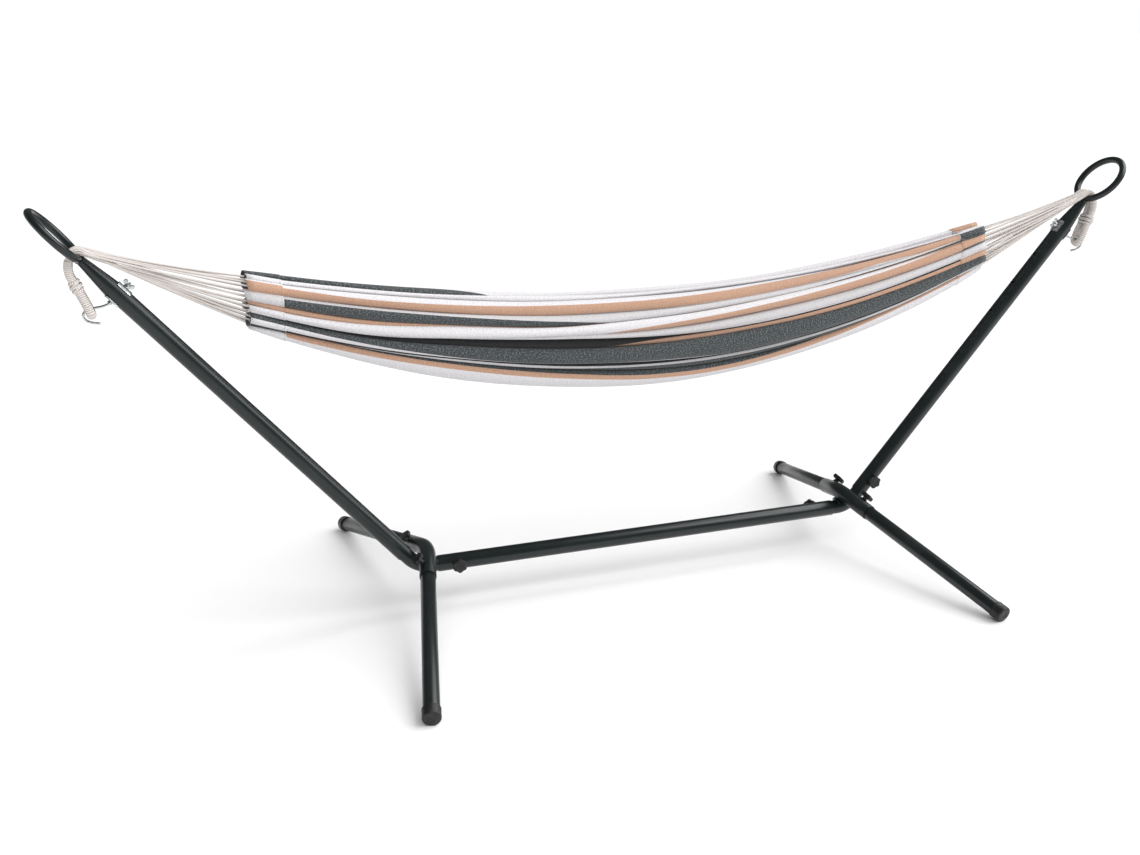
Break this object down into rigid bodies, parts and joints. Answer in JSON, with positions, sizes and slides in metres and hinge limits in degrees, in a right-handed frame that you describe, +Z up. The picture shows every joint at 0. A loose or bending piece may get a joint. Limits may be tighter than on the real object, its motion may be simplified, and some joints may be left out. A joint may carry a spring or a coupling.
{
  "type": "hammock on stand",
  "caption": "Gathered cloth hammock hung by fans of cord from the ringed arms of a take-apart tubular steel stand with splayed feet.",
  "frame": {"origin": "on the floor, under the middle of the beam", "axes": "+X along the beam towards the end with its arm knob in front, +Y from front to back, +Z up"},
  "size_m": [2.8566, 1.1812, 1.0564],
  "materials": {
    "painted_steel": "near-black powder coat, semi-gloss",
    "black_plastic": "black moulded plastic, satin",
    "zinc_steel": "bright zinc plate",
    "cotton_cord": "undyed braided cotton",
    "striped_cotton": "woven cotton with charcoal, white and tan stripes"
  },
  "bodies": {
    "stand": {"base_beam": "painted_steel", "cross_tube_right": "painted_steel", "elbow_right": "painted_steel", "arm_right": "painted_steel", "ring_right": "painted_steel", "hook_right": "zinc_steel", "hook_nut_right": "zinc_steel", "saddle_lower_right": "zinc_steel", "saddle_upper_right": "zinc_steel", "cord_loop_right": "cotton_cord", "leg_right_front": "painted_steel", "foot_cap_right_front": "black_plastic", "leg_right_back": "painted_steel", "foot_cap_right_back": "black_plastic", "cross_tube_left": "painted_steel", "elbow_left": "painted_steel", "arm_left": "painted_steel", "ring_left": "painted_steel", "hook_left": "zinc_steel", "hook_nut_left": "zinc_steel", "saddle_lower_left": "zinc_steel", "saddle_upper_left": "zinc_steel", "cord_loop_left": "cotton_cord", "leg_left_back": "painted_steel", "foot_cap_left_back": "black_plastic", "leg_left_front": "painted_steel", "foot_cap_left_front": "black_plastic", "weld_nut_cross_right_front": "painted_steel", "weld_nut_cross_right_back": "painted_steel", "weld_nut_arm_right": "painted_steel", "weld_nut_beam_right": "painted_steel", "weld_nut_cross_left_back": "painted_steel", "weld_nut_cross_left_front": "painted_steel", "weld_nut_arm_left": "painted_steel", "weld_nut_beam_left": "painted_steel"},
    "hammock": {"hammock_bed": "striped_cotton", "cord_fan_left": "cotton_cord", "cord_fan_right": "cotton_cord"},
    "knob_cross_right_front": {"knob_cross_right_front": "black_plastic", "stud_cross_right_front": "zinc_steel"},
    "knob_cross_right_back": {"knob_cross_right_back": "black_plastic", "stud_cross_right_back": "zinc_steel"},
    "knob_arm_right": {"knob_arm_right": "black_plastic", "stud_arm_right": "zinc_steel"},
    "knob_beam_right": {"knob_beam_right": "black_plastic", "stud_beam_right": "zinc_steel"},
    "knob_cross_left_back": {"knob_cross_left_back": "black_plastic", "stud_cross_left_back": "zinc_steel"},
    "knob_cross_left_front": {"knob_cross_left_front": "black_plastic", "stud_cross_left_front": "zinc_steel"},
    "knob_arm_left": {"knob_arm_left": "black_plastic", "stud_arm_left": "zinc_steel"},
    "knob_beam_left": {"knob_beam_left": "black_plastic", "stud_beam_left": "zinc_steel"},
    "wing_nut_left": {"wing_nut_left": "zinc_steel"},
    "wing_nut_right": {"wing_nut_right": "zinc_steel"}
  },
  "joints": [
    {"name": "hammock_swing", "type": "hinge", "parent": "stand", "child": "hammock", "pos_m": [0, 0, 0.96588], "axis": [1, 0, 0], "range_deg": [-45, 45]},
    {"name": "knob_turn_cross_right_front", "type": "hinge", "parent": "stand", "child": "knob_cross_right_front", "pos_m": [0.61255, -0.07616, 0.13944], "axis": [0.7373, 0, 0.6756], "continuous": true},
    {"name": "knob_turn_cross_left_back", "type": "hinge", "parent": "stand", "child": "knob_cross_left_back", "pos_m": [-0.61255, 0.07616, 0.13944], "axis": [-0.7373, 0, 0.6756], "continuous": true},
    {"name": "knob_turn_cross_right_back", "type": "hinge", "parent": "stand", "child": "knob_cross_right_back", "pos_m": [0.61255, 0.07616, 0.13944], "axis": [0.7373, 0, 0.6756], "continuous": true},
    {"name": "knob_turn_cross_left_front", "type": "hinge", "parent": "stand", "child": "knob_cross_left_front", "pos_m": [-0.61255, -0.07616, 0.13944], "axis": [-0.7373, 0, 0.6756], "continuous": true},
    {"name": "knob_turn_arm_right", "type": "hinge", "parent": "stand", "child": "knob_arm_right", "pos_m": [0.68502, 0, 0.18463], "axis": [0, -1, 0], "continuous": true},
    {"name": "knob_turn_arm_left", "type": "hinge", "parent": "stand", "child": "knob_arm_left", "pos_m": [-0.68502, 0, 0.18463], "axis": [0, 1, 0], "continuous": true},
    {"name": "knob_turn_beam_right", "type": "hinge", "parent": "stand", "child": "knob_beam_right", "pos_m": [0.521, 0, 0.11], "axis": [0, 1, 0], "continuous": true},
    {"name": "knob_turn_beam_left", "type": "hinge", "parent": "stand", "child": "knob_beam_left", "pos_m": [-0.521, 0, 0.11], "axis": [0, -1, 0], "continuous": true},
    {"name": "wing_nut_turn_right", "type": "hinge", "parent": "stand", "child": "wing_nut_right", "pos_m": [1.25925, 0, 0.85935], "axis": [-0.7615, 0, 0.6481], "continuous": true},
    {"name": "wing_nut_turn_left", "type": "hinge", "parent": "stand", "child": "wing_nut_left", "pos_m": [-1.25925, 0, 0.85935], "axis": [0.7615, 0, 0.6481], "continuous": true}
  ]
}
